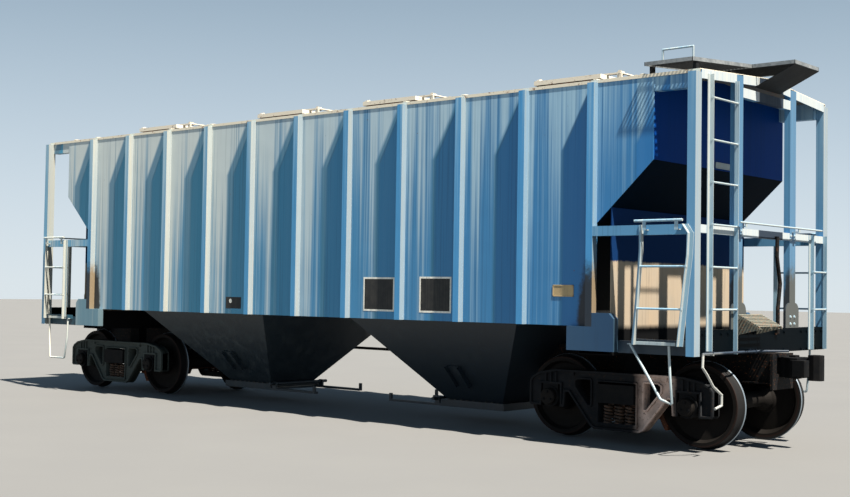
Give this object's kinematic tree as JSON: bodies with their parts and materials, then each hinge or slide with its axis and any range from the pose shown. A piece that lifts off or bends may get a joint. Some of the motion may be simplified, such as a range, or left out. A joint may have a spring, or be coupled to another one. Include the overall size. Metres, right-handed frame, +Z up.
{
  "type": "covered hopper car",
  "caption": "Blue covered hopper rail car with outside side posts, sloped ends, roof hatches and walkway, funnel bays with sliding gates, and swivelling trucks.",
  "frame": {"origin": "midway between the trucks on the centre line, at the height of the wheel flanges' lowest points", "axes": "+X toward the forward end, +Y to the left side, +Z up; the rail head is at z = 25.4 mm"},
  "size_m": [13.1, 3.398, 4.2762],
  "materials": {
    "body_paint": "faded chalky blue",
    "roof_paint": "dusty pale",
    "bay_paint": "grimed dark blue",
    "bare_steel": "dull",
    "galvanised": "dull grey",
    "cast_steel": "grimed",
    "spring_steel": "grimed",
    "wheel_steel": "rusted plate, bright tread"
  },
  "bodies": {
    "car_body": {"air_brake_gear": "body_paint", "body_bolsters": "body_paint", "brake_pipes": "bare_steel", "brake_steps": "body_paint", "centre_ridge": "body_paint", "corner_posts": "body_paint", "draft_sills": "body_paint", "end_beams": "body_paint", "end_decks": "body_paint", "end_ladders": "body_paint", "end_platforms": "galvanised", "end_posts": "body_paint", "end_sills": "body_paint", "end_walls": "body_paint", "grab_irons": "body_paint", "hand_brake": "body_paint", "hatch_coamings": "roof_paint", "hatch_hinges": "roof_paint", "hopper_bays": "bay_paint", "jacking_pads": "body_paint", "ladder_rungs": "body_paint", "outlet_frames": "bay_paint", "roof": "roof_paint", "roof_panels": "roof_paint", "running_board": "galvanised", "side_ladders": "body_paint", "side_posts": "body_paint", "side_sheets": "body_paint", "side_sills": "body_paint", "sill_steps": "bare_steel", "slope_sheets": "body_paint", "top_chords": "body_paint", "uncoupling_levers": "bare_steel", "walkway_brackets": "galvanised"},
    "truck_a": {"side_frames_a": "cast_steel", "truck_bolster_a": "cast_steel", "springs_a": "spring_steel", "bearings_a": "cast_steel", "brake_beams_a": "cast_steel"},
    "wheelset_a1": {"wheelset_a1": "wheel_steel"},
    "wheelset_a2": {"wheelset_a2": "wheel_steel"},
    "truck_b": {"side_frames_b": "cast_steel", "truck_bolster_b": "cast_steel", "springs_b": "spring_steel", "bearings_b": "cast_steel", "brake_beams_b": "cast_steel"},
    "wheelset_b1": {"wheelset_b1": "wheel_steel"},
    "wheelset_b2": {"wheelset_b2": "wheel_steel"},
    "hatch_lid_r1": {"hatch_lid_r1": "roof_paint"},
    "hatch_lid_r2": {"hatch_lid_r2": "roof_paint"},
    "hatch_lid_r3": {"hatch_lid_r3": "roof_paint"},
    "hatch_lid_r4": {"hatch_lid_r4": "roof_paint"},
    "hatch_lid_l1": {"hatch_lid_l1": "roof_paint"},
    "hatch_lid_l2": {"hatch_lid_l2": "roof_paint"},
    "hatch_lid_l3": {"hatch_lid_l3": "roof_paint"},
    "hatch_lid_l4": {"hatch_lid_l4": "roof_paint"},
    "outlet_gate_a": {"outlet_gate_a": "bare_steel"},
    "outlet_gate_b": {"outlet_gate_b": "bare_steel"},
    "coupler_a": {"coupler_a": "cast_steel"},
    "coupler_b": {"coupler_b": "cast_steel"}
  },
  "joints": [
    {"name": "truck_a_swivel", "type": "hinge", "parent": "car_body", "child": "truck_a", "pos_m": [4.67, 0, 0.6794], "axis": [0, 0, 1], "range_deg": [-6, 6]},
    {"name": "wheelset_a1_spin", "type": "hinge", "parent": "truck_a", "child": "wheelset_a1", "pos_m": [5.559, 0, 0.4826], "axis": [0, 1, 0], "continuous": true},
    {"name": "wheelset_a2_spin", "type": "hinge", "parent": "truck_a", "child": "wheelset_a2", "pos_m": [3.781, 0, 0.4826], "axis": [0, 1, 0], "continuous": true},
    {"name": "truck_b_swivel", "type": "hinge", "parent": "car_body", "child": "truck_b", "pos_m": [-4.67, 0, 0.6794], "axis": [0, 0, 1], "range_deg": [-6, 6]},
    {"name": "wheelset_b1_spin", "type": "hinge", "parent": "truck_b", "child": "wheelset_b1", "pos_m": [-3.781, 0, 0.4826], "axis": [0, 1, 0], "continuous": true},
    {"name": "wheelset_b2_spin", "type": "hinge", "parent": "truck_b", "child": "wheelset_b2", "pos_m": [-5.559, 0, 0.4826], "axis": [0, 1, 0], "continuous": true},
    {"name": "hatch_lid_r1_hinge", "type": "hinge", "parent": "car_body", "child": "hatch_lid_r1", "pos_m": [4.585, -0.73, 4.17797], "axis": [0, 1, 0], "range_deg": [0, 105]},
    {"name": "hatch_lid_r2_hinge", "type": "hinge", "parent": "car_body", "child": "hatch_lid_r2", "pos_m": [1.785, -0.73, 4.17797], "axis": [0, 1, 0], "range_deg": [0, 105]},
    {"name": "hatch_lid_r3_hinge", "type": "hinge", "parent": "car_body", "child": "hatch_lid_r3", "pos_m": [-0.305, -0.73, 4.17797], "axis": [0, 1, 0], "range_deg": [0, 105]},
    {"name": "hatch_lid_r4_hinge", "type": "hinge", "parent": "car_body", "child": "hatch_lid_r4", "pos_m": [-3.095, -0.73, 4.17797], "axis": [0, 1, 0], "range_deg": [0, 105]},
    {"name": "hatch_lid_l1_hinge", "type": "hinge", "parent": "car_body", "child": "hatch_lid_l1", "pos_m": [4.585, 0.73, 4.17797], "axis": [0, 1, 0], "range_deg": [0, 105]},
    {"name": "hatch_lid_l2_hinge", "type": "hinge", "parent": "car_body", "child": "hatch_lid_l2", "pos_m": [1.785, 0.73, 4.17797], "axis": [0, 1, 0], "range_deg": [0, 105]},
    {"name": "hatch_lid_l3_hinge", "type": "hinge", "parent": "car_body", "child": "hatch_lid_l3", "pos_m": [-0.305, 0.73, 4.17797], "axis": [0, 1, 0], "range_deg": [0, 105]},
    {"name": "hatch_lid_l4_hinge", "type": "hinge", "parent": "car_body", "child": "hatch_lid_l4", "pos_m": [-3.095, 0.73, 4.17797], "axis": [0, 1, 0], "range_deg": [0, 105]},
    {"name": "outlet_gate_a_slide", "type": "slide", "parent": "car_body", "child": "outlet_gate_a", "axis": [-1, 0, 0], "range_m": [0, 0.88]},
    {"name": "outlet_gate_b_slide", "type": "slide", "parent": "car_body", "child": "outlet_gate_b", "axis": [1, 0, 0], "range_m": [0, 0.88]},
    {"name": "coupler_a_swing", "type": "hinge", "parent": "car_body", "child": "coupler_a", "pos_m": [5.55, 0, 0.9014], "axis": [0, 0, 1], "range_deg": [-6, 6]},
    {"name": "coupler_b_swing", "type": "hinge", "parent": "car_body", "child": "coupler_b", "pos_m": [-5.55, 0, 0.9014], "axis": [0, 0, 1], "range_deg": [-6, 6]}
  ]
}
